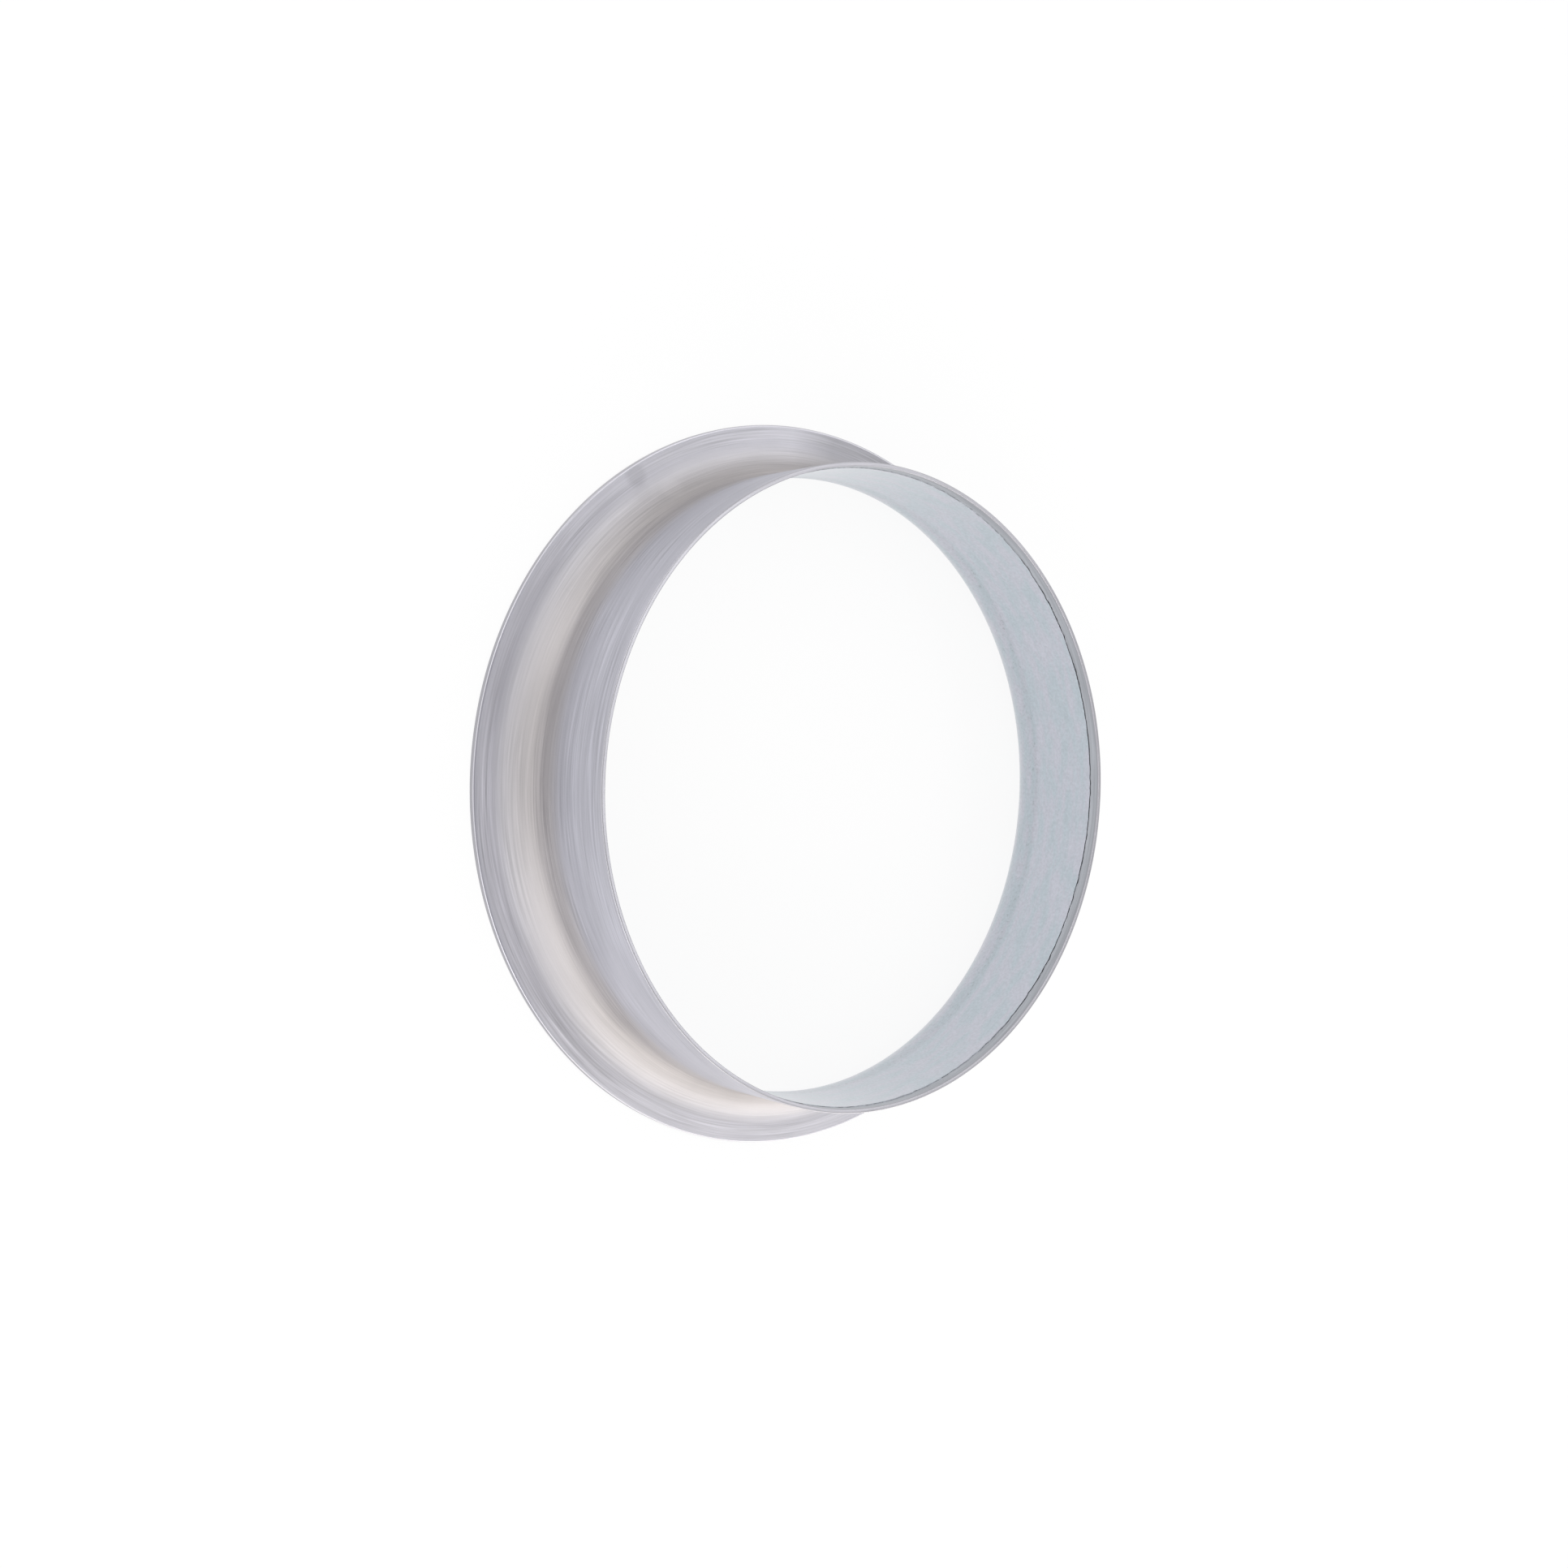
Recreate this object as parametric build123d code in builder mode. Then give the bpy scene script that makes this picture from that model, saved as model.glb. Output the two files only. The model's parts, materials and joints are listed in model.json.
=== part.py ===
"""Duct flange: a short spun spigot that turns through a quarter-round root into a flat ring.

Millimetres, +Z up. The ring lies on z = 0, the axis is Z and the mouth of the spigot is at the top.
"""

import os

from build123d import *

# Spigot, sized to enter a nominal 200 mm duct
duct_bore = 200.0
duct_clearance = 1.0
spigot_outer_radius = (duct_bore - duct_clearance) / 2
spigot_run = 32.0

# Sheet: the ring keeps the gauge of the blank, the drawn wall is thinner
ring_gauge = 2.0
wall_gauge = 1.5

# Root and ring, measured on the outer side
root_radius = 11.0
ring_width = 5.5

# Mouth: a shallow band skimmed inside the trimmed end
skim_run = 3.7
skim_cut = 0.2

# Broken edges
rim_top_break = 0.4
rim_under_break = 0.2
mouth_outer_break = 0.3
mouth_inner_break = 0.2

# Levels and radii that follow
root_level = ring_gauge + root_radius
mouth_level = root_level + spigot_run
skim_level = mouth_level - skim_run
ring_inner_radius = spigot_outer_radius + root_radius
rim_radius = ring_inner_radius + ring_width
bore_radius = spigot_outer_radius - wall_gauge
skim_radius = bore_radius + skim_cut
throat_radius = ring_gauge + root_radius
seat_inner_radius = bore_radius + throat_radius

with BuildPart() as duct_flange:
    with BuildSketch(Plane.XZ) as section:
        with BuildLine():
            # Outer side, from the mouth down to the rim
            Line((spigot_outer_radius, mouth_level), (spigot_outer_radius, root_level))
            CenterArc((ring_inner_radius, root_level), root_radius, 180, 90)
            Line((ring_inner_radius, ring_gauge), (rim_radius, ring_gauge))
            # Cut edge and seat
            Line((rim_radius, ring_gauge), (rim_radius, 0))
            Line((rim_radius, 0), (seat_inner_radius, 0))
            # Inner side, from the seat up through the throat to the mouth
            CenterArc((seat_inner_radius, root_level), throat_radius, 180, 90)
            Line((bore_radius, root_level), (bore_radius, skim_level))
            Line((bore_radius, skim_level), (skim_radius, skim_level))
            Line((skim_radius, skim_level), (skim_radius, mouth_level))
            Line((skim_radius, mouth_level), (spigot_outer_radius, mouth_level))
        make_face()
        chamfer(section.vertices().sort_by_distance((rim_radius, ring_gauge))[0], rim_top_break)
        chamfer(section.vertices().sort_by_distance((rim_radius, 0))[0], rim_under_break)
        chamfer(section.vertices().sort_by_distance((spigot_outer_radius, mouth_level))[0], mouth_outer_break)
        chamfer(section.vertices().sort_by_distance((skim_radius, mouth_level))[0], mouth_inner_break)
    revolve(axis=Axis.Z)

duct_flange.part.label = "duct_flange"

os.makedirs("parts", exist_ok=True)
export_step(duct_flange.part, "parts/duct_flange.step")
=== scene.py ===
"""Duct flange: one spun aluminium wall with its lathe lines, trimmed edges and the burr inside its mouth.

Metres, +Z up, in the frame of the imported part: the ring lies on z = 0 and the mouth is at the top.
"""

import json
import math

import bpy
from bpy.props import FloatProperty, FloatVectorProperty, IntProperty, PointerProperty
from mathutils import Euler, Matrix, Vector


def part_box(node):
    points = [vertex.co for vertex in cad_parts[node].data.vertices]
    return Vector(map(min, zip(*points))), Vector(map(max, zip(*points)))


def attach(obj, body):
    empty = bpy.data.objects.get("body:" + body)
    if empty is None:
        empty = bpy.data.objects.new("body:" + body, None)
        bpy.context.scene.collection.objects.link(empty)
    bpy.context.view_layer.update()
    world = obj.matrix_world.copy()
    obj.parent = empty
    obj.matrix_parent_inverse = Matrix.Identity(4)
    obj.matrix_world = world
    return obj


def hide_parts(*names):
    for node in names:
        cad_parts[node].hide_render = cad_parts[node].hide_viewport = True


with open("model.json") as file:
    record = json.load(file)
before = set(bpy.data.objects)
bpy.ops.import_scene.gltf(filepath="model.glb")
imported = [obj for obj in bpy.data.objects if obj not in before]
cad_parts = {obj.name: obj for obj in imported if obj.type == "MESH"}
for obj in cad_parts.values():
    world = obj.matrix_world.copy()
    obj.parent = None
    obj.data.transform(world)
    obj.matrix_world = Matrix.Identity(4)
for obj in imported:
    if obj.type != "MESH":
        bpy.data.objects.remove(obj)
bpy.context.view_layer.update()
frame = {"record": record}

bl_info = {
    "name": "Duct Flange",
    "version": (1, 0, 0),
    "blender": (4, 5, 0),
    "location": "3D View > Sidebar > Flange",
    "description": "Builds a spun aluminium duct flange and its studio stage",
    "category": "Object",
}

MM = 0.001
BODY = "root"
CAD_NODE = "duct_flange"
WALL_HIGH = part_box(CAD_NODE)[1]

# Names of the values that the section carries to the lathe and to the materials
ALONG = "along_mm"
LINES = "line_share"
# Tone along the section: painted highlight and painted shade, with some of the tool's rubbing
RUB_AND_LIGHT = "tool_rub"
# Warm cast on the root and the spigot's foot
WARM_CAST = "tool_stain"
SCUFF = "scuff"
EDGE_MASK = "cut_edge"
BAND_MASK = "mouth_band"
INSIDE_MASK = "inside"
SHOULDER_MASK = "shoulder"


def mount_radius(name):
    """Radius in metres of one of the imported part's round mounts."""
    for mount in frame["record"]["mounts"]:
        if mount["name"] == name:
            return mount["dims"]["r_mm"] * MM
    raise RuntimeError(f"the packed record has no mount named {name}")


def hex_colour(code):
    """Linear RGBA of an sRGB hex value."""
    parts = [int(code[i:i + 2], 16) / 255 for i in (1, 3, 5)]
    linear = [p / 12.92 if p <= 0.04045 else ((p + 0.055) / 1.055) ** 2.4 for p in parts]
    return (*linear, 1.0)


def length(name, description, default):
    """A length property, with its default in metres."""
    return FloatProperty(
        name=name,
        description=description,
        default=default,
        min=0.0,
        precision=5,
        subtype="DISTANCE",
        unit="LENGTH",
    )


def colour(name, description, code):
    """A colour property, with its default as an sRGB hex value."""
    return FloatVectorProperty(
        name=name,
        description=description,
        default=hex_colour(code),
        size=4,
        min=0.0,
        max=1.0,
        subtype="COLOR",
    )


class DUCTFLANGE_PG_wall(bpy.types.PropertyGroup):
    """Sizes of the spun wall and of the marks that the lathe left on it."""

    rim_radius: length("Rim Radius", "Outer radius of the ring", WALL_HIGH.x)
    height: length("Height", "From the seat to the mouth", WALL_HIGH.z)
    spigot_radius: length("Spigot Radius", "Outside of the spigot", mount_radius("spigot"))
    bore_radius: length("Bore Radius", "Inside of the spigot", mount_radius("bore"))
    ring_gauge: length("Ring Gauge", "Thickness of the sheet at the ring", 2.0 * MM)
    root_radius: length("Root Radius", "Outer side of the turn from ring to spigot", 11.0 * MM)
    skim_run: length("Skim Run", "Height of the band skimmed inside the mouth", 3.7 * MM)
    skim_cut: length("Skim Cut", "Depth of that band", 0.2 * MM)
    rim_top_round: length("Rim Top Round", "Upper edge of the rim", 0.4 * MM)
    rim_under_round: length("Rim Under Round", "Lower edge of the rim", 0.2 * MM)
    rim_line_width: length("Rim Line Width", "Width of the line scored inside the rim's upper edge", 0.5 * MM)
    rim_line_depth: length("Rim Line Depth", "Depth of that line", 0.08 * MM)
    mouth_outer_round: length("Mouth Outer Round", "Outer edge of the mouth", 0.3 * MM)
    mouth_inner_round: length("Mouth Inner Round", "Inner edge of the mouth", 0.2 * MM)
    turn_steps: IntProperty(name="Turn Steps", description="Faces round the axis", default=352, min=16)
    line_pitch: length("Line Pitch", "Usual distance from one lathe line to the next", 1.2 * MM)
    line_depth: length("Line Depth", "Deepest of the lathe lines", 0.035 * MM)
    line_sweep: FloatProperty(
        name="Line Sweep",
        description="How soon a line fades round the axis",
        default=1.5,
    )
    line_seed: FloatProperty(name="Line Seed", description="Which set of lines is drawn", default=7.0)


class DUCTFLANGE_PG_burr(bpy.types.PropertyGroup):
    """Sizes of the ragged shoulder at the inner end of the skimmed band, and of the burr on it."""

    thickness: length("Thickness", "Thickest part of the burr", 0.42 * MM)
    wander: length("Wander", "How far the shoulder strays up and down", 0.5 * MM)
    tooth: length("Tooth", "Usual distance from one ragged tooth to the next", 3.0 * MM)
    steps: IntProperty(name="Steps", description="Points round the burr", default=1056, min=60)
    sides: IntProperty(name="Sides", description="Faces round the burr's section", default=6, min=3)
    seed: FloatProperty(name="Seed", description="Which ragged line is drawn", default=3.0)


class DUCTFLANGE_PG_finish(bpy.types.PropertyGroup):
    """Colours of the aluminium where it was spun, left as rolled, trimmed, skimmed and torn; some of them
    carry painted highlight, shade and shadow.
    """

    # The outer side's dark and light colours are the ends of the tone along the section: painted shade and
    # painted highlight, with some of the tool's rubbing
    spun: colour("Spun", "Outer side, where the spinning tool passed lightly", "#A9A9B2")
    rubbed_and_lit: colour("Rubbed", "Outer side, where the tool pressed hardest", "#D1D0D6")
    # Warm cast multiplied on the root and the spigot's foot
    warm_tint: colour("Stained", "Cast of the tool grease left in the root", "#FFFAF0")
    rolled: colour("Rolled", "Inner side, as the sheet came", "#B9C3CB")
    streaked: colour("Streaked", "Streaks and clouds on the inner side", "#BDBFC9")
    trimmed: colour("Trimmed", "Bright cut edges", "#B2B1B7")
    skimmed: colour("Skimmed", "Band turned inside the mouth", "#B0B3B9")
    # Dark colour of the torn metal: painted shadow of the shoulder's gap on one side
    burr: colour("Burr", "Torn metal and the grime it holds", "#545559")


class DUCTFLANGE_PG_stage(bpy.types.PropertyGroup):
    """Floor, light and camera."""

    floor_radius: length("Floor Radius", "Half the width of the floor", 6.0)
    floor_gap: length("Floor Gap", "From the seat down to the floor", 0.05 * MM)
    floor: colour("Floor", "Plain pale floor", "#F4F4F4")
    floor_white: FloatProperty(
        name="Floor White",
        description="Share of plain white in the floor as it is seen, the rest takes the shadow",
        default=0.88,
        min=0.0,
        max=1.0,
        subtype="FACTOR",
    )
    sky_low: colour("Low Sky", "Light from near the horizon", "#FFFFFF")
    sky_high: colour("High Sky", "Light from overhead", "#DADADA")
    warm_light: colour("Warm Light", "Soft boxes at the right", "#FFFAF1")
    lamp_level: FloatProperty(name="Lamp Level", description="Factor on every soft box", default=1.0, min=0.0)
    lamp_distance: length("Lamp Distance", "From the object to each soft box", 1.2)
    camera_place: FloatVectorProperty(
        name="Camera Place",
        description="Where the camera stands",
        default=(0.0, -361.46 * MM, 467.52 * MM),
        subtype="TRANSLATION",
        unit="LENGTH",
    )
    camera_turn: FloatVectorProperty(
        name="Camera Turn",
        description="Camera's turn about X, Y and Z",
        default=(math.radians(-1.969), math.radians(-37.512), math.radians(93.264)),
        subtype="EULER",
        unit="ROTATION",
    )
    camera_lens: FloatProperty(
        name="Camera Lens",
        description="Focal length for a 36 mm sensor",
        default=41.55,
        unit="CAMERA",
    )


def add(tree, kind, inputs=None, **settings):
    """Add a node to a tree, with its settings, and with values or links on its inputs."""
    node = tree.nodes.new(kind)
    for name, value in settings.items():
        setattr(node, name, value)
    for name, value in (inputs or {}).items():
        if isinstance(value, bpy.types.NodeSocket):
            tree.links.new(value, node.inputs[name])
        else:
            node.inputs[name].default_value = value
    return node


def new_tree(name, inputs, output):
    """A geometry tree with its named inputs, and its group input and output nodes."""
    tree = bpy.data.node_groups.new(name, "GeometryNodeTree")
    for label, kind in inputs:
        tree.interface.new_socket(label, in_out="INPUT", socket_type=kind)
    tree.interface.new_socket(output, in_out="OUTPUT", socket_type="NodeSocketGeometry")
    return tree, add(tree, "NodeGroupInput"), add(tree, "NodeGroupOutput")


def new_piece(name, points, edges=(), faces=()):
    """A mesh object at the origin, linked to the scene."""
    mesh = bpy.data.meshes.new(name)
    mesh.from_pydata(points, edges, faces)
    piece = bpy.data.objects.new(name, mesh)
    bpy.context.scene.collection.objects.link(piece)
    return piece


def grow(piece, tree, values):
    """Run a geometry tree on a piece and keep the result as the piece's plain mesh."""
    modifier = piece.modifiers.new(tree.name, "NODES")
    modifier.node_group = tree
    for item in tree.interface.items_tree:
        if item.in_out == "INPUT" and item.name in values:
            modifier[item.identifier] = values[item.name]
    graph = bpy.context.evaluated_depsgraph_get()
    mesh = bpy.data.meshes.new_from_object(piece.evaluated_get(graph))
    piece.modifiers.remove(modifier)
    old_mesh = piece.data
    piece.data = mesh
    bpy.data.meshes.remove(old_mesh)
    mesh.name = piece.name
    if not mesh.polygons:
        raise RuntimeError(f"{piece.name} came out with no faces")


# Section of the wall

def straight(start, end, step):
    """Points of a straight run in the section, without its first point."""
    a, b = Vector(start), Vector(end)
    count = max(1, math.ceil((b - a).length / step))
    return [a.lerp(b, i / count) for i in range(1, count + 1)]


def arc(centre, radius, start, end, count):
    """Points of an arc in the section, from one angle to another in degrees, without its first point."""
    angles = [math.radians(start + (end - start) * i / count) for i in range(1, count + 1)]
    return [Vector((centre[0] + radius * math.cos(a), centre[1] + radius * math.sin(a))) for a in angles]


def wall_stretches(size):
    """Named stretches of (radius, height) points, from the rim over the mouth to the seat and back."""
    rim, mouth, gauge = size.rim_radius, size.height, size.ring_gauge
    spigot, bore = size.spigot_radius, size.bore_radius
    root = size.root_radius
    throat = root + gauge
    root_centre = (spigot + root, gauge + root)
    throat_centre = (bore + throat, gauge + root)
    skim = bore + size.skim_cut
    skim_level = mouth - size.skim_run
    top, under = size.rim_top_round, size.rim_under_round
    outer, inner = size.mouth_outer_round, size.mouth_inner_round
    line_out = rim - top
    line_in = line_out - size.rim_line_width
    line_bottom = ((line_out + line_in) / 2, gauge - size.rim_line_depth)
    # Fine where the lathe lines are cut into the wall, coarse where it is plain
    fine, coarse = 0.3 * MM, 1.0 * MM
    rim_step, mouth_step = 0.5 * MM, 0.4 * MM
    edge_steps, root_steps, throat_steps = 4, 56, 18
    return [
        ("rim edge", straight((rim, under), (rim, gauge - top), rim_step)),
        ("rim round", arc((rim - top, gauge - top), top, 0, 90, edge_steps)),
        ("rim line", straight((line_out, gauge), line_bottom, coarse)),
        ("rim line", straight(line_bottom, (line_in, gauge), coarse)),
        ("ring", straight((line_in, gauge), (root_centre[0], gauge), fine)),
        ("root", arc(root_centre, root, 270, 180, root_steps)),
        ("spigot", straight((spigot, root_centre[1]), (spigot, mouth - outer), fine)),
        ("mouth edge", arc((spigot - outer, mouth - outer), outer, 0, 90, edge_steps)),
        ("mouth edge", straight((spigot - outer, mouth), (skim + inner, mouth), mouth_step)),
        ("mouth edge", arc((skim + inner, mouth - inner), inner, 90, 180, edge_steps)),
        ("band", straight((skim, mouth - inner), (skim, skim_level + fine), fine)),
        ("shoulder", [Vector((skim, skim_level)), Vector((bore, skim_level - size.skim_cut / 2))]),
        ("shoulder foot", [Vector((bore, skim_level - size.skim_cut))]),
        ("bore", straight((bore, skim_level - coarse), (bore, throat_centre[1]), coarse)),
        ("throat", arc(throat_centre, throat, 180, 270, throat_steps)),
        ("seat", straight((throat_centre[0], 0.0), (rim - under, 0.0), 2 * coarse)),
        ("rim edge", arc((rim - under, under), under, 270, 360, edge_steps)),
    ]


EDGE_STRETCHES = ("rim edge", "rim round", "mouth edge")
BAND_STRETCHES = ("band", "shoulder")
INSIDE_STRETCHES = ("shoulder foot", "bore", "throat", "seat")
# Share of the full line depth on each stretch
LINE_SHARE = {"ring": 1.0, "root": 0.6, "spigot": 0.7, "band": 0.6}
# How far a stretch strays with the torn shoulder: its foot a little less, so that it isn't torn metal itself
STRAY_SHARE = {"shoulder": 1.0, "shoulder foot": 0.9}

# Tone along each stretch, which is painted highlight in the root's band and painted shade at the spigot's
# foot, with some of the tool's rubbing;
# where the root and the spigot's foot take a warm cast; and where the inside is scuffed: pairs of place and
# value from 0 to 1
RUB_AND_LIGHT_STOPS = {
    "rim edge": ((0.0, 0.35), (1.0, 0.35)),
    "rim round": ((0.0, 0.4), (0.5, 0.62), (1.0, 0.62)),
    "rim line": ((0.0, 0.6), (1.0, 0.6)),
    "ring": ((0.0, 0.7), (0.4, 0.86), (0.6, 0.84), (1.0, 0.76)),
    "root": (
        (0.0, 0.74),
        (0.14, 0.76),
        (0.2, 0.88),
        (0.34, 0.56),
        (0.5, 0.25),
        (0.7, 0.35),
        (0.84, 0.25),
        (1.0, 0.07),
    ),
    "spigot": ((0.0, 0.07), (0.15, 0.08), (0.4, 0.18), (0.6, 0.31), (0.85, 0.27), (1.0, 0.4)),
    "mouth edge": ((0.0, 0.4), (1.0, 0.4)),
    "band": ((0.0, 0.1), (0.3, 0.4), (1.0, 0.6)),
}
WARM_CAST_STOPS = {
    "root": ((0.0, 0.0), (0.17, 0.2), (0.5, 0.9), (0.7, 1.0), (1.0, 1.0)),
    "spigot": ((0.0, 1.0), (0.12, 0.9), (0.3, 0.15), (0.5, 0.0), (1.0, 0.0)),
}
SCUFF_STOPS = {
    "bore": ((0.0, 0.0), (0.84, 0.0), (0.9, 1.0), (0.95, 0.8), (1.0, 0.5)),
    "throat": ((0.0, 0.5), (0.5, 0.4), (0.65, 0.0)),
}


def between_stops(stops, share):
    """Value at a share of the way along a stretch, in straight lines between its stops."""
    for (a, low), (b, high) in zip(stops, stops[1:]):
        if share <= b:
            return low + (high - low) * (share - a) / (b - a)
    return stops[-1][1] if stops else 0.0


def section_piece(name, size):
    """The section as a closed loop of edges in the XZ plane, with the values that the lathe carries along."""
    points = []
    labels = (ALONG, LINES, RUB_AND_LIGHT, WARM_CAST, SCUFF, EDGE_MASK, BAND_MASK, INSIDE_MASK, SHOULDER_MASK)
    values = {label: [] for label in labels}
    along, last = 0.0, None
    for stretch, run in wall_stretches(size):
        for number, point in enumerate(run, 1):
            along += (point - last).length if last else 0.0
            last = point
            share = number / len(run)
            points.append((point.x, 0.0, point.y))
            values[ALONG].append(along / MM)
            values[LINES].append(LINE_SHARE.get(stretch, 0.0))
            values[RUB_AND_LIGHT].append(between_stops(RUB_AND_LIGHT_STOPS.get(stretch, ()), share))
            values[WARM_CAST].append(between_stops(WARM_CAST_STOPS.get(stretch, ()), share))
            values[SCUFF].append(between_stops(SCUFF_STOPS.get(stretch, ()), share))
            values[EDGE_MASK].append(float(stretch in EDGE_STRETCHES))
            values[BAND_MASK].append(float(stretch in BAND_STRETCHES))
            values[INSIDE_MASK].append(float(stretch in INSIDE_STRETCHES))
            values[SHOULDER_MASK].append(STRAY_SHARE.get(stretch, 0.0))
    count = len(points)
    piece = new_piece(name, points, [(i, (i + 1) % count) for i in range(count)])
    for label, column in values.items():
        piece.data.attributes.new(label, "FLOAT", "POINT").data.foreach_set("value", column)
    return piece


# Geometry trees

def from_axis(tree, place):
    """Direction from the axis to a place, level and one unit long."""
    level = add(tree, "ShaderNodeVectorMath", {0: place, 1: (1.0, 1.0, 0.0)}, operation="MULTIPLY")
    return add(tree, "ShaderNodeVectorMath", {0: level.outputs[0]}, operation="NORMALIZE").outputs[0]


def lathe_place(tree, place, sweep, step):
    """Where a noise is read for lines round the axis: stretched that way, tight along the section."""
    round_axis = add(
        tree,
        "ShaderNodeVectorMath",
        {0: from_axis(tree, place), "Scale": sweep},
        operation="SCALE",
    )
    across = add(tree, "ShaderNodeCombineXYZ", {"Z": step})
    where = add(
        tree,
        "ShaderNodeVectorMath",
        {0: round_axis.outputs[0], 1: across.outputs[0]},
        operation="ADD",
    )
    return where.outputs[0]


def line_cut(tree, take, place):
    """How far each point of the wall moves inwards for the lathe lines."""
    along = add(tree, "GeometryNodeInputNamedAttribute", {"Name": ALONG}, data_type="FLOAT")
    metres = add(tree, "ShaderNodeMath", {0: along.outputs[0], 1: MM}, operation="MULTIPLY")
    step = add(tree, "ShaderNodeMath", {0: metres.outputs[0], 1: take["Line Pitch"]}, operation="DIVIDE")
    where = lathe_place(tree, place, take["Line Sweep"], step.outputs[0])
    lines = add(
        tree,
        "ShaderNodeTexNoise",
        {"Vector": where, "W": take["Line Seed"], "Scale": 1.0, "Detail": 1.0, "Roughness": 0.6},
        noise_dimensions="4D",
    )
    cut = add(
        tree,
        "ShaderNodeMapRange",
        {"Value": lines.outputs[0], "From Min": 0.35, "From Max": 0.65, "To Min": 0.0, "To Max": -1.0},
    )
    share = add(tree, "GeometryNodeInputNamedAttribute", {"Name": LINES}, data_type="FLOAT")
    depth = add(tree, "ShaderNodeMath", {0: share.outputs[0], 1: take["Line Depth"]}, operation="MULTIPLY")
    inward = add(tree, "ShaderNodeMath", {0: cut.outputs[0], 1: depth.outputs[0]}, operation="MULTIPLY")
    normal = add(tree, "GeometryNodeInputNormal")
    offset = add(
        tree,
        "ShaderNodeVectorMath",
        {0: normal.outputs[0], "Scale": inward.outputs[0]},
        operation="SCALE",
    )
    return offset.outputs[0]


def ragged_rise(tree, take, place):
    """How far the torn shoulder strays from its level, by the direction from the axis."""
    teeth = add(
        tree,
        "ShaderNodeMath",
        {0: take["Turning Radius"], 1: take["Tooth"]},
        operation="DIVIDE",
    )
    where = add(
        tree,
        "ShaderNodeVectorMath",
        {0: from_axis(tree, place), "Scale": teeth.outputs[0]},
        operation="SCALE",
    )
    ragged = add(
        tree,
        "ShaderNodeTexNoise",
        {"Vector": where.outputs[0], "W": take["Burr Seed"], "Scale": 1.0, "Detail": 2.0},
        noise_dimensions="4D",
    )
    sway = add(
        tree,
        "ShaderNodeMapRange",
        {"Value": ragged.outputs[0], "From Min": 0.3, "From Max": 0.7, "To Min": -0.5, "To Max": 0.5},
    )
    rise = add(tree, "ShaderNodeMath", {0: sway.outputs[0], 1: take["Wander"]}, operation="MULTIPLY")
    return rise.outputs[0]


# Finish, mask and least value, in the order they are laid on. A mask is read as the mean of a face's points:
# a low least value takes in the faces at the ends of a zone, and a high one leaves them out
ZONES = (
    ("Rolled", INSIDE_MASK, 0.25),
    ("Skimmed", BAND_MASK, 0.75),
    ("Torn", SHOULDER_MASK, 0.97),
    ("Trimmed", EDGE_MASK, 0.25),
)


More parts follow.
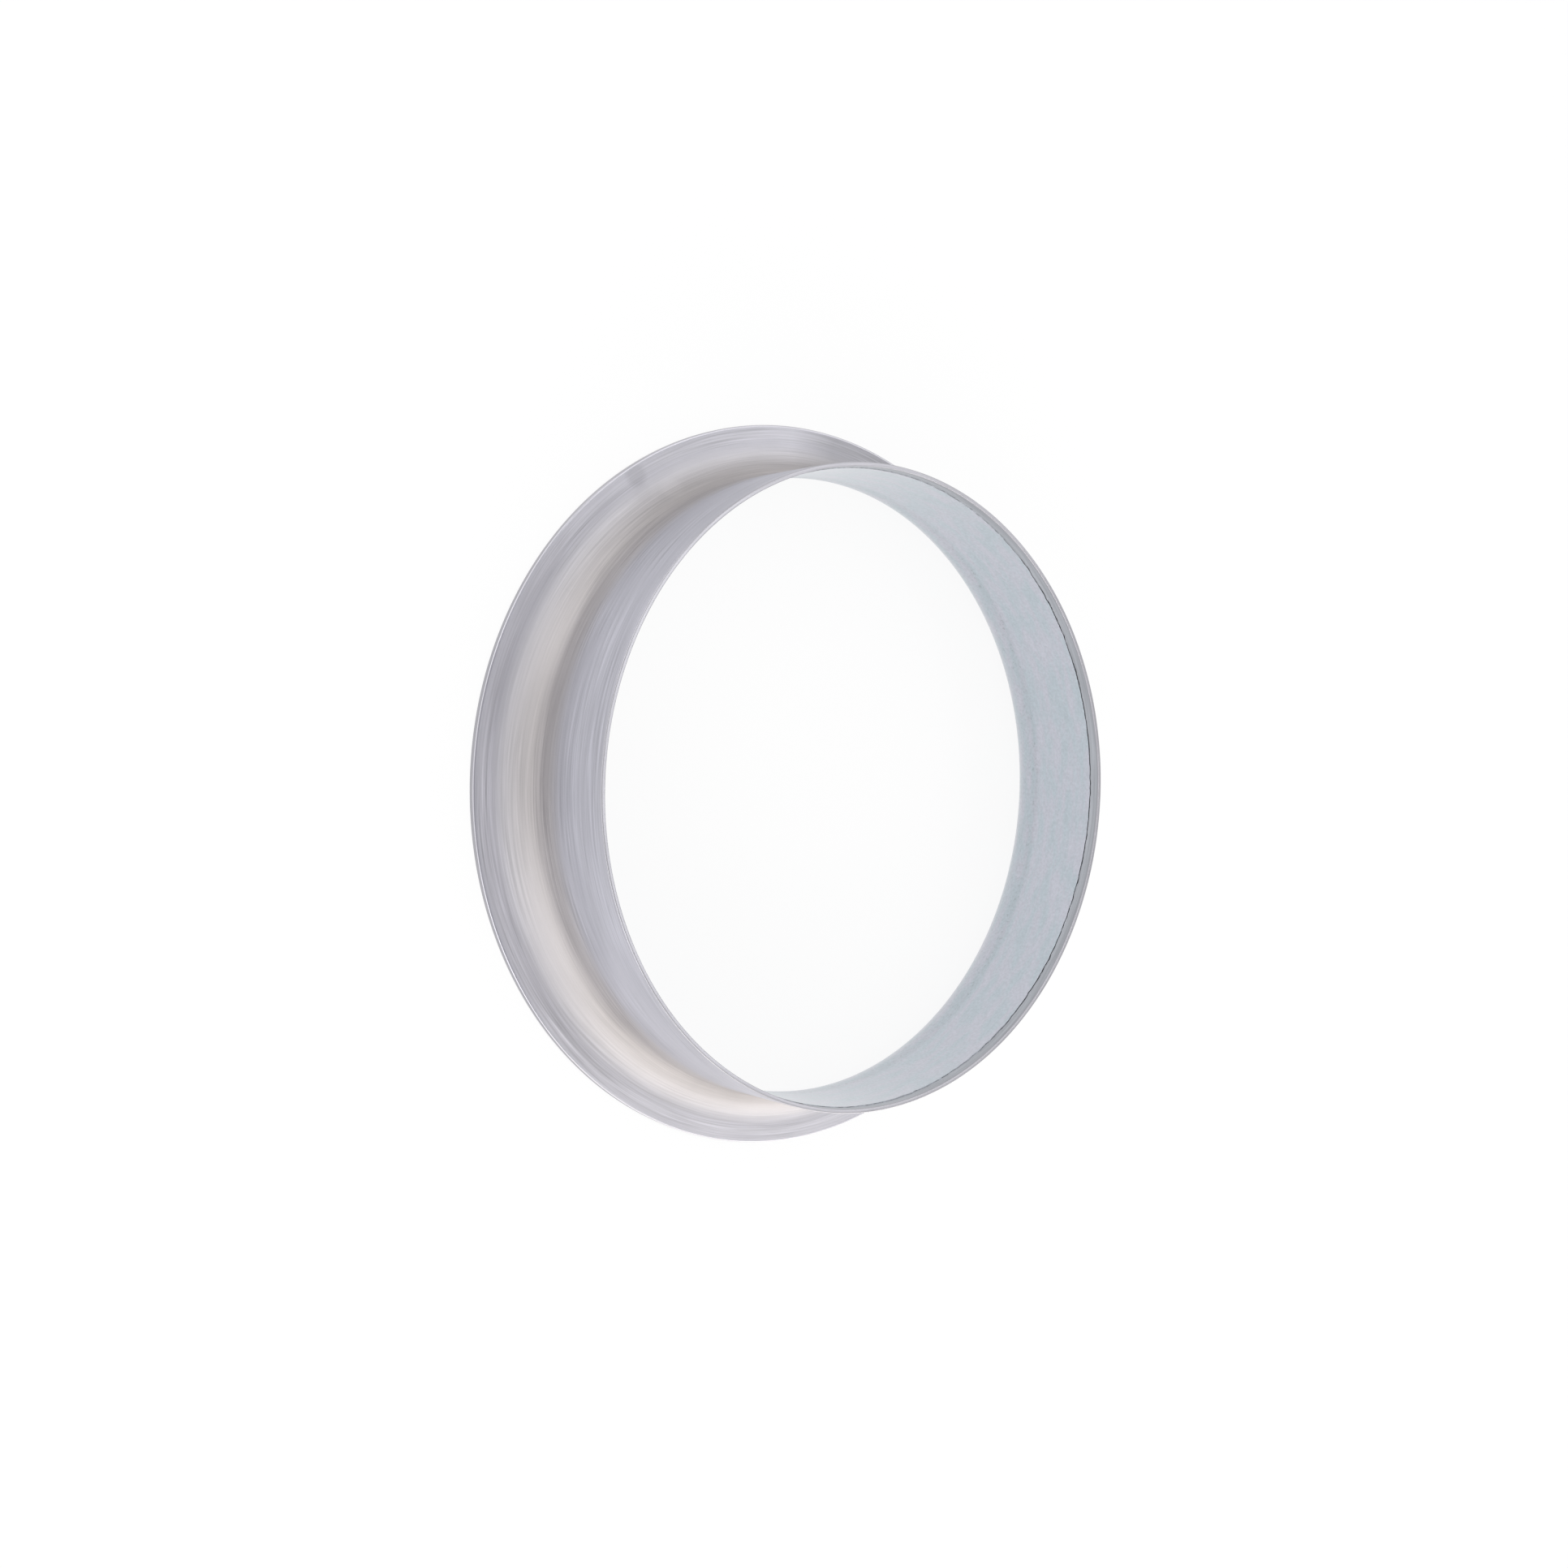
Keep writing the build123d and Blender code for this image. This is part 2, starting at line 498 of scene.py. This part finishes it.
def lathe_tree():
    """Sweeps the section round the axis, cuts the lathe lines into it and gives each zone its finish."""
    tree, given, result = new_tree(
        "spun_wall_lathe",
        [
            ("Section", "NodeSocketGeometry"),
            ("Turning Radius", "NodeSocketFloat"),
            ("Turn Steps", "NodeSocketInt"),
            ("Line Pitch", "NodeSocketFloat"),
            ("Line Depth", "NodeSocketFloat"),
            ("Line Sweep", "NodeSocketFloat"),
            ("Line Seed", "NodeSocketFloat"),
            ("Tooth", "NodeSocketFloat"),
            ("Wander", "NodeSocketFloat"),
            ("Burr Seed", "NodeSocketFloat"),
            ("Spun", "NodeSocketMaterial"),
            ("Rolled", "NodeSocketMaterial"),
            ("Trimmed", "NodeSocketMaterial"),
            ("Skimmed", "NodeSocketMaterial"),
            ("Torn", "NodeSocketMaterial"),
        ],
        "Wall",
    )
    take = given.outputs
    place = add(tree, "GeometryNodeInputPosition").outputs[0]

    # The sweep reads a profile's X as outwards and its Y as down
    parts = add(tree, "ShaderNodeSeparateXYZ", {"Vector": place})
    out = add(
        tree,
        "ShaderNodeMath",
        {0: parts.outputs["X"], 1: take["Turning Radius"]},
        operation="SUBTRACT",
    )
    down = add(tree, "ShaderNodeMath", {0: parts.outputs["Z"], 1: -1.0}, operation="MULTIPLY")
    flat = add(tree, "ShaderNodeCombineXYZ", {"X": out.outputs[0], "Y": down.outputs[0]})
    laid = add(tree, "GeometryNodeSetPosition", {"Geometry": take["Section"], "Position": flat.outputs[0]})
    profile = add(tree, "GeometryNodeMeshToCurve", {"Mesh": laid.outputs[0]})
    circle = add(
        tree,
        "GeometryNodeCurvePrimitiveCircle",
        {"Resolution": take["Turn Steps"], "Radius": take["Turning Radius"]},
        mode="RADIUS",
    )
    swept = add(
        tree,
        "GeometryNodeCurveToMesh",
        {"Curve": circle.outputs["Curve"], "Profile Curve": profile.outputs[0]},
    )
    lined = add(
        tree,
        "GeometryNodeSetPosition",
        {"Geometry": swept.outputs[0], "Offset": line_cut(tree, take, place)},
    )

    # The shoulder at the inner end of the skimmed band is torn, so it strays up and down
    shoulder = add(tree, "GeometryNodeInputNamedAttribute", {"Name": SHOULDER_MASK}, data_type="FLOAT")
    rise = add(
        tree,
        "ShaderNodeMath",
        {0: ragged_rise(tree, take, place), 1: shoulder.outputs[0]},
        operation="MULTIPLY",
    )
    lift = add(tree, "ShaderNodeCombineXYZ", {"Z": rise.outputs[0]})
    torn = add(tree, "GeometryNodeSetPosition", {"Geometry": lined.outputs[0], "Offset": lift.outputs[0]})
    smooth = add(tree, "GeometryNodeSetShadeSmooth", {"Geometry": torn.outputs[0], "Shade Smooth": True})
    solid = add(tree, "GeometryNodeRealizeInstances", {"Geometry": smooth.outputs[0]})
    finished = add(tree, "GeometryNodeSetMaterial", {"Geometry": solid.outputs[0], "Material": take["Spun"]})
    for label, mask, least in ZONES:
        value = add(tree, "GeometryNodeInputNamedAttribute", {"Name": mask}, data_type="FLOAT")
        chosen = add(tree, "ShaderNodeMath", {0: value.outputs[0], 1: least}, operation="GREATER_THAN")
        finished = add(
            tree,
            "GeometryNodeSetMaterial",
            {"Geometry": finished.outputs[0], "Selection": chosen.outputs[0], "Material": take[label]},
        )
    tree.links.new(finished.outputs[0], result.inputs[0])
    return tree


def burr_tree():
    """A thin ragged wire of torn metal along the shoulder at the inner end of the skimmed band."""
    tree, given, result = new_tree(
        "trim_burr_line",
        [
            ("Start", "NodeSocketGeometry"),
            ("Turning Radius", "NodeSocketFloat"),
            ("Radius", "NodeSocketFloat"),
            ("Level", "NodeSocketFloat"),
            ("Thickness", "NodeSocketFloat"),
            ("Tooth", "NodeSocketFloat"),
            ("Wander", "NodeSocketFloat"),
            ("Steps", "NodeSocketInt"),
            ("Sides", "NodeSocketInt"),
            ("Burr Seed", "NodeSocketFloat"),
            ("Torn Metal", "NodeSocketMaterial"),
        ],
        "Burr",
    )
    take = given.outputs
    place = add(tree, "GeometryNodeInputPosition").outputs[0]
    circle = add(
        tree,
        "GeometryNodeCurvePrimitiveCircle",
        {"Resolution": take["Steps"], "Radius": take["Radius"]},
        mode="RADIUS",
    )
    lift = add(
        tree,
        "ShaderNodeMath",
        {0: ragged_rise(tree, take, place), 1: take["Level"]},
        operation="ADD",
    )
    offset = add(tree, "ShaderNodeCombineXYZ", {"Z": lift.outputs[0]})
    line = add(
        tree,
        "GeometryNodeSetPosition",
        {"Geometry": circle.outputs["Curve"], "Offset": offset.outputs[0]},
    )
    # Thick and thin places follow one another about 4.5 mm apart
    torn = add(
        tree,
        "ShaderNodeTexNoise",
        {"Vector": place, "W": take["Burr Seed"], "Scale": 1 / (4.5 * MM), "Detail": 3.0},
        noise_dimensions="4D",
    )
    width = add(
        tree,
        "ShaderNodeMapRange",
        {"Value": torn.outputs[0], "From Min": 0.36, "From Max": 0.62, "To Min": 0.35, "To Max": 0.95},
    )
    half = add(tree, "ShaderNodeMath", {0: take["Thickness"], 1: 0.5}, operation="MULTIPLY")
    profile = add(
        tree,
        "GeometryNodeCurvePrimitiveCircle",
        {"Resolution": take["Sides"], "Radius": half.outputs[0]},
        mode="RADIUS",
    )
    wire = add(
        tree,
        "GeometryNodeCurveToMesh",
        {"Curve": line.outputs[0], "Profile Curve": profile.outputs["Curve"], "Scale": width.outputs[0]},
    )
    solid = add(tree, "GeometryNodeRealizeInstances", {"Geometry": wire.outputs[0]})
    finished = add(
        tree,
        "GeometryNodeSetMaterial",
        {"Geometry": solid.outputs[0], "Material": take["Torn Metal"]},
    )
    tree.links.new(finished.outputs[0], result.inputs[0])
    return tree


# Materials

# Where most of a noise's values lie
NOISE_RANGE = (0.3, 0.7)


def new_material(name, roughness, **sockets):
    """A metal with its shader, ready for nodes. Constants go straight on the shader's sockets."""
    material = bpy.data.materials.new(name)
    material.use_nodes = True
    tree = material.node_tree
    shader = tree.nodes["Principled BSDF"]
    shader.inputs["Metallic"].default_value = 1.0
    shader.inputs["Roughness"].default_value = roughness
    for label, value in sockets.items():
        shader.inputs[label.replace("_", " ").title()].default_value = value
    return material, tree, shader


def lathe_lines(tree, pitch, sweep, detail=2.0):
    """Uneven lines round the axis, one unit to a pitch in mm along the section."""
    spot = add(tree, "ShaderNodeTexCoord")
    along = add(tree, "ShaderNodeAttribute", attribute_name=ALONG)
    step = add(tree, "ShaderNodeMath", {0: along.outputs["Fac"], 1: pitch}, operation="DIVIDE")
    where = lathe_place(tree, spot.outputs["Object"], sweep, step.outputs[0])
    return add(tree, "ShaderNodeTexNoise", {"Vector": where, "Scale": 1.0, "Detail": detail}).outputs[0]


def metal_grain(tree, width, detail=2.0):
    """Grain of one width in mm, the same in every direction."""
    spot = add(tree, "ShaderNodeTexCoord")
    grain = add(
        tree,
        "ShaderNodeTexNoise",
        {"Vector": spot.outputs["Object"], "Scale": 1 / (width * MM), "Detail": detail},
    )
    return grain.outputs[0]


def tint(tree, shader, shade, *tones):
    """Put a colour on a shader, times one tone after another.

    Each tone is a value, the two ends of the range it is read in, and the tones at those ends.
    """
    factor = 1.0
    for value, start, end, low, high in tones:
        tone = add(
            tree,
            "ShaderNodeMapRange",
            {"Value": value, "From Min": start, "From Max": end, "To Min": low, "To Max": high},
        )
        factor = add(tree, "ShaderNodeMath", {0: tone.outputs[0], 1: factor}, operation="MULTIPLY").outputs[0]
    toned = add(tree, "ShaderNodeVectorMath", {0: shade, "Scale": factor}, operation="SCALE")
    tree.links.new(toned.outputs[0], shader.inputs["Base Color"])


# Marks of handling on ring and root, and a wide painted shade on the ring's far end, behind the spigot:
# azimuth in degrees, radius, height and reach in mm, and the tone they leave
MARKS_AND_SHADE = (
    (215.5, 113.0, 2.0, 4.5, 0.87),
    (216.0, 107.5, 2.4, 4.0, 0.97),
    (211.0, 104.0, 4.2, 4.5, 1.05),
    # Painted shade on the ring's far end, behind the spigot
    (164.0, 112.0, 2.5, 38.0, 0.72),
)
# Share of a mark's reach that has the full tone
MARK_CORE = 0.55


def mark_and_shade_tone(tree, azimuth, radius, height, reach, tone):
    """Tone of a soft spot, for a handling mark that dulled or brightened the metal and for the painted shade:
    full in the middle, 1 outside.
    """
    spot = add(tree, "ShaderNodeTexCoord")
    turn = math.radians(azimuth)
    middle = (radius * math.cos(turn) * MM, radius * math.sin(turn) * MM, height * MM)
    gap = add(tree, "ShaderNodeVectorMath", {0: spot.outputs["Object"], 1: middle}, operation="DISTANCE")
    return gap.outputs["Value"], MARK_CORE * reach * MM, reach * MM, tone, 1.0


def spun_aluminium(finish):
    """Aluminium sheet spun by a tool: grey, softly glossy, with fine lines round the axis, and painted
    highlight and shade along the section.
    """
    material, tree, shader = new_material(
        "spun_aluminium_tool_lines",
        roughness=0.55,
        anisotropic=0.6,
        anisotropic_rotation=0.25,
    )
    # Real lines are about 0.3 mm apart: drawn 0.5 mm apart, or they wouldn't show
    fine = lathe_lines(tree, pitch=0.5, sweep=3.6, detail=3.0)
    patches = lathe_lines(tree, pitch=9.0, sweep=3.0)
    pressed = lathe_lines(tree, pitch=12.0, sweep=2.2)
    share = add(tree, "ShaderNodeAttribute", attribute_name=LINES)
    rub_and_light = add(tree, "ShaderNodeAttribute", attribute_name=RUB_AND_LIGHT)
    warmth = add(tree, "ShaderNodeAttribute", attribute_name=WARM_CAST)
    # The lines show more where the tool was pressed, and are lighter and darker than the metal between them
    strength = add(
        tree,
        "ShaderNodeMapRange",
        {"Value": pressed, "From Min": 0.4, "From Max": 0.6, "To Min": 0.5, "To Max": 1.3},
    )
    shown = add(
        tree,
        "ShaderNodeMath",
        {0: share.outputs["Fac"], 1: strength.outputs[0]},
        operation="MULTIPLY",
    )
    away = add(tree, "ShaderNodeMath", {0: fine, 1: 0.5}, operation="SUBTRACT")
    lines = add(tree, "ShaderNodeMath", {0: away.outputs[0], 1: shown.outputs[0]}, operation="MULTIPLY")
    # Dark to light by the tone along the section: painted shade at the spigot's foot and painted highlight in
    # the root's band, with some of the tool's rubbing; then the warm cast
    clean = add(
        tree,
        "ShaderNodeMix",
        {"Factor": rub_and_light.outputs["Fac"], "A": finish.spun, "B": finish.rubbed_and_lit},
        data_type="RGBA",
    )
    shade = add(
        tree,
        "ShaderNodeMix",
        {"Factor": warmth.outputs["Fac"], "A": clean.outputs["Result"], "B": finish.warm_tint},
        data_type="RGBA",
        blend_type="MULTIPLY",
    )
    tint(
        tree,
        shader,
        shade.outputs["Result"],
        (lines.outputs[0], -1.0, 1.0, 0.0, 2.0),
        (patches, *NOISE_RANGE, 0.96, 1.04),
        *[mark_and_shade_tone(tree, *values) for values in MARKS_AND_SHADE],
    )
    gloss = add(
        tree,
        "ShaderNodeMapRange",
        {"Value": fine, "From Min": 0.3, "From Max": 0.7, "To Min": 0.48, "To Max": 0.6},
    )
    bump = add(tree, "ShaderNodeBump", {"Height": fine, "Strength": 0.25, "Distance": 0.02 * MM})
    tangent = add(tree, "ShaderNodeTangent", direction_type="RADIAL", axis="Z")
    tree.links.new(gloss.outputs[0], shader.inputs["Roughness"])
    tree.links.new(bump.outputs[0], shader.inputs["Normal"])
    tree.links.new(tangent.outputs[0], shader.inputs["Tangent"])
    return material


def rolled_aluminium(finish):
    """Aluminium as it left the rolls: cool grey, faint streaks round the axis, fine grain and a few pits."""
    material, tree, shader = new_material(
        "mill_aluminium_inside",
        roughness=0.42,
        coat_weight=1.0,
        coat_roughness=0.3,
    )
    streaks = lathe_lines(tree, pitch=3.0, sweep=9.0, detail=3.0)
    grain = metal_grain(tree, width=0.9)
    pits = metal_grain(tree, width=1.1, detail=1.0)
    scuff = add(tree, "ShaderNodeAttribute", attribute_name=SCUFF).outputs["Fac"]
    streaked = add(tree, "ShaderNodeMapRange", {"Value": streaks, "From Min": 0.4, "From Max": 0.6})
    shade = add(
        tree,
        "ShaderNodeMix",
        {"Factor": streaked.outputs[0], "A": finish.rolled, "B": finish.streaked},
        data_type="RGBA",
    )
    sparse = add(tree, "ShaderNodeMapRange", {"Value": pits, "From Min": 0.62, "From Max": 0.7})
    pitted = add(tree, "ShaderNodeMath", {0: sparse.outputs[0], 1: scuff}, operation="MULTIPLY")
    tint(
        tree,
        shader,
        shade.outputs["Result"],
        (streaks, *NOISE_RANGE, 0.95, 1.05),
        (grain, *NOISE_RANGE, 0.93, 1.07),
        (scuff, 0.0, 1.0, 1.0, 0.92),
        (pitted.outputs[0], 0.0, 1.0, 1.0, 0.8),
    )
    bump = add(tree, "ShaderNodeBump", {"Height": grain, "Strength": 0.15, "Distance": 0.02 * MM})
    tree.links.new(bump.outputs[0], shader.inputs["Normal"])
    return material


def trimmed_aluminium(finish):
    """Aluminium cut by a trimming tool: bright, with fine lines along the edge."""
    material, tree, shader = new_material("trimmed_aluminium_edge", roughness=0.3)
    # The tone along the section lightens the rim's upper round: painted highlight, with some of the tool's
    # rubbing
    rub_and_light = add(tree, "ShaderNodeAttribute", attribute_name=RUB_AND_LIGHT)
    lines = lathe_lines(tree, pitch=0.35, sweep=6.0)
    tint(
        tree,
        shader,
        finish.trimmed[:3],
        (lines, *NOISE_RANGE, 0.9, 1.06),
        (rub_and_light.outputs["Fac"], 0.0, 1.0, 0.6, 1.6),
    )
    return material


def skimmed_aluminium(finish):
    """Aluminium turned in a lathe: fine close lines round the mouth, darker towards its edge."""
    material, tree, shader = new_material("turned_aluminium_band", roughness=0.4)
    rub_and_light = add(tree, "ShaderNodeAttribute", attribute_name=RUB_AND_LIGHT)
    lines = lathe_lines(tree, pitch=0.9, sweep=4.0)
    tint(
        tree,
        shader,
        finish.skimmed[:3],
        (lines, *NOISE_RANGE, 0.84, 1.1),
        (rub_and_light.outputs["Fac"], 0.1, 0.6, 0.82, 1.05),
    )
    return material


# Direction of the side on which the tear is painted dark, as painted shadow of the shoulder's gap
SHADOW_SIDE = (0.0, 1.0, 0.0)


def torn_aluminium(finish):
    """Torn aluminium: dull, with painted shadow on one side of the axis, as grey as the band elsewhere."""
    material, tree, shader = new_material("torn_aluminium_burr", roughness=0.75)
    spot = add(tree, "ShaderNodeTexCoord")
    side = add(
        tree,
        "ShaderNodeVectorMath",
        {0: from_axis(tree, spot.outputs["Object"]), 1: SHADOW_SIDE},
        operation="DOT_PRODUCT",
    )
    shadowed = add(
        tree,
        "ShaderNodeMapRange",
        {"Value": side.outputs["Value"], "From Min": 0.5, "From Max": 0.75},
    )
    shade = add(
        tree,
        "ShaderNodeMix",
        {"Factor": shadowed.outputs[0], "A": finish.skimmed, "B": finish.burr},
        data_type="RGBA",
    )
    tint(tree, shader, shade.outputs["Result"], (metal_grain(tree, width=1.5), *NOISE_RANGE, 0.6, 1.3))
    return material


# Pieces

class DUCTFLANGE_OT_spun_wall(bpy.types.Operator):
    """Make the flange's wall: its section swept round the axis, with lathe lines and its finishes"""

    bl_idname = "duct_flange.spun_wall"
    bl_label = "Spun Wall"

    def execute(self, context):
        scene = context.scene
        size, burr, finish = scene.flange_wall, scene.flange_burr, scene.flange_finish
        piece = section_piece("spun_wall", size)
        grow(
            piece,
            lathe_tree(),
            {
                "Turning Radius": size.spigot_radius,
                "Turn Steps": size.turn_steps,
                "Line Pitch": size.line_pitch,
                "Line Depth": size.line_depth,
                "Line Sweep": size.line_sweep,
                "Line Seed": size.line_seed,
                "Tooth": burr.tooth,
                "Wander": burr.wander,
                "Burr Seed": burr.seed,
                "Spun": spun_aluminium(finish),
                "Rolled": rolled_aluminium(finish),
                "Trimmed": trimmed_aluminium(finish),
                "Skimmed": skimmed_aluminium(finish),
                "Torn": torn_aluminium(finish),
            },
        )
        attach(piece, BODY)
        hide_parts(CAD_NODE)
        return {"FINISHED"}


class DUCTFLANGE_OT_trim_burr(bpy.types.Operator):
    """Make the ragged burr at the inner end of the skimmed band"""

    bl_idname = "duct_flange.trim_burr"
    bl_label = "Trim Burr"

    def execute(self, context):
        scene = context.scene
        size, burr, finish = scene.flange_wall, scene.flange_burr, scene.flange_finish
        piece = new_piece("trim_burr", [(size.bore_radius, 0.0, size.height)])
        grow(
            piece,
            burr_tree(),
            {
                "Turning Radius": size.spigot_radius,
                "Radius": size.bore_radius + size.skim_cut,
                "Level": size.height - size.skim_run,
                "Thickness": burr.thickness,
                "Tooth": burr.tooth,
                "Wander": burr.wander,
                "Steps": burr.steps,
                "Sides": burr.sides,
                "Burr Seed": burr.seed,
                "Torn Metal": torn_aluminium(finish),
            },
        )
        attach(piece, BODY)
        return {"FINISHED"}


# Stage

def pale_floor(stage):
    """Matt white card: white to the eye and in the metal, and still darkened by the object's shadow."""
    material = bpy.data.materials.new("matt_white_card")
    material.use_nodes = True
    tree = material.node_tree
    shader = tree.nodes["Principled BSDF"]
    shader.inputs["Base Color"].default_value = stage.floor
    shader.inputs["Roughness"].default_value = 0.9
    shader.inputs["Specular IOR Level"].default_value = 0.0
    path = add(tree, "ShaderNodeLightPath")
    seen = add(
        tree,
        "ShaderNodeMath",
        {0: path.outputs["Is Camera Ray"], 1: path.outputs["Is Glossy Ray"]},
        operation="MAXIMUM",
    )
    through = add(
        tree,
        "ShaderNodeMath",
        {0: seen.outputs[0], 1: path.outputs["Is Transmission Ray"]},
        operation="MAXIMUM",
    )
    share = add(tree, "ShaderNodeMath", {0: through.outputs[0], 1: stage.floor_white}, operation="MULTIPLY")
    white = add(tree, "ShaderNodeEmission", {"Color": (1.0, 1.0, 1.0, 1.0), "Strength": 1.0})
    mix = add(
        tree,
        "ShaderNodeMixShader",
        {0: share.outputs[0], 1: shader.outputs[0], 2: white.outputs[0]},
    )
    tree.links.new(mix.outputs[0], tree.nodes["Material Output"].inputs["Surface"])
    return material


def soft_sky(stage):
    """A studio's surroundings: white near the horizon, greyer overhead."""
    world = bpy.data.worlds.new("studio_surroundings")
    world.use_nodes = True
    tree = world.node_tree
    spot = add(tree, "ShaderNodeTexCoord")
    parts = add(tree, "ShaderNodeSeparateXYZ", {"Vector": spot.outputs["Generated"]})
    rise = add(tree, "ShaderNodeMapRange", {"Value": parts.outputs["Z"], "From Min": 0.3, "From Max": 0.7})
    sky = add(
        tree,
        "ShaderNodeMix",
        {"Factor": rise.outputs[0], "A": stage.sky_low, "B": stage.sky_high},
        data_type="RGBA",
    )
    tree.links.new(sky.outputs["Result"], tree.nodes["Background"].inputs["Color"])
    return world


# Soft boxes round the object:
# azimuth and elevation in degrees, power in watts, width in metres, and the property that has their colour
SOFT_BOXES = {
    "right_low": (0, 18, 4.4, 1.0, "warm_light"),
    "back_right_low": (38, 12, 3.2, 0.7, "warm_light"),
    "front_left_low": (225, 18, 3.0, 1.0, "sky_low"),
    "front_low": (270, 18, 0.8, 1.0, "sky_low"),
    "front_right_low": (315, 18, 4.3, 1.0, "sky_low"),
    "back_left_high": (135, 48, 1.55, 1.0, "sky_low"),
    "left_high": (180, 48, 0.35, 1.0, "sky_low"),
    "front_high": (270, 48, 1.1, 1.0, "sky_low"),
    "back_right_top": (74, 56, 0.5, 0.35, "sky_low"),
    "back_left_top": (106, 63, 0.4, 0.35, "sky_low"),
}


def soft_box(name, stage, azimuth, elevation, power, width, shade):
    """A round soft light that faces the object from a direction."""
    turn, rise = math.radians(azimuth), math.radians(elevation)
    way = Vector((math.cos(turn) * math.cos(rise), math.sin(turn) * math.cos(rise), math.sin(rise)))
    lamp = bpy.data.lights.new(name, "AREA")
    lamp.shape = "DISK"
    lamp.size = width
    lamp.energy = power * stage.lamp_level
    lamp.color = getattr(stage, shade)[:3]
    light = bpy.data.objects.new(name, lamp)
    light.location = way * stage.lamp_distance
    light.rotation_euler = (-way).to_track_quat("-Z", "Y").to_euler()
    bpy.context.scene.collection.objects.link(light)


def photo_camera(stage):
    """The camera that was fitted to the photo's outlines."""
    lens = bpy.data.cameras.new("photo_camera")
    lens.sensor_width = 36.0
    lens.lens = stage.camera_lens
    lens.clip_start = 0.01
    camera = bpy.data.objects.new("photo_camera", lens)
    camera.location = stage.camera_place
    camera.rotation_euler = Euler(stage.camera_turn, "XYZ")
    bpy.context.scene.collection.objects.link(camera)
    return camera


class DUCTFLANGE_OT_stage(bpy.types.Operator):
    """Make the floor, the soft light and the camera"""

    bl_idname = "duct_flange.stage"
    bl_label = "Stage"

    def execute(self, context):
        scene = context.scene
        stage = scene.flange_stage
        reach = stage.floor_radius
        sides = ((-reach, -reach), (reach, -reach), (reach, reach), (-reach, reach))
        floor = new_piece("floor", [(x, y, -stage.floor_gap) for x, y in sides], faces=[(0, 1, 2, 3)])
        floor.data.materials.append(pale_floor(stage))
        scene.world = soft_sky(stage)
        for name, values in SOFT_BOXES.items():
            soft_box(name, stage, *values)
        scene.camera = photo_camera(stage)
        scene.view_settings.view_transform = "Standard"
        return {"FINISHED"}


class DUCTFLANGE_PT_panel(bpy.types.Panel):
    """Sizes, colours and steps of the duct flange"""

    bl_idname = "DUCTFLANGE_PT_panel"
    bl_label = "Duct Flange"
    bl_space_type = "VIEW_3D"
    bl_region_type = "UI"
    bl_category = "Flange"

    def draw(self, context):
        scene = context.scene
        for title, group in (
            ("Wall", scene.flange_wall),
            ("Burr", scene.flange_burr),
            ("Finish", scene.flange_finish),
            ("Stage", scene.flange_stage),
        ):
            box = self.layout.box()
            box.label(text=title)
            for name in group.__annotations__:
                box.prop(group, name)
        for operator in OPERATORS:
            self.layout.operator(operator.bl_idname)


OPERATORS = (DUCTFLANGE_OT_spun_wall, DUCTFLANGE_OT_trim_burr, DUCTFLANGE_OT_stage)
GROUPS = {
    "flange_wall": DUCTFLANGE_PG_wall,
    "flange_burr": DUCTFLANGE_PG_burr,
    "flange_finish": DUCTFLANGE_PG_finish,
    "flange_stage": DUCTFLANGE_PG_stage,
}


def register():
    """Register the groups of values, the operators and the panel."""
    for group in GROUPS.values():
        bpy.utils.register_class(group)
    for name, group in GROUPS.items():
        setattr(bpy.types.Scene, name, PointerProperty(type=group))
    for operator in OPERATORS:
        bpy.utils.register_class(operator)
    bpy.utils.register_class(DUCTFLANGE_PT_panel)


def unregister():
    """Take away what register added."""
    bpy.utils.unregister_class(DUCTFLANGE_PT_panel)
    for operator in reversed(OPERATORS):
        bpy.utils.unregister_class(operator)
    for name in GROUPS:
        delattr(bpy.types.Scene, name)
    for group in reversed(GROUPS.values()):
        bpy.utils.unregister_class(group)


def main():
    """Build the flange and its stage."""
    register()
    bpy.ops.duct_flange.spun_wall()
    bpy.ops.duct_flange.trim_burr()
    bpy.ops.duct_flange.stage()


if __name__ == "__main__":
    main()
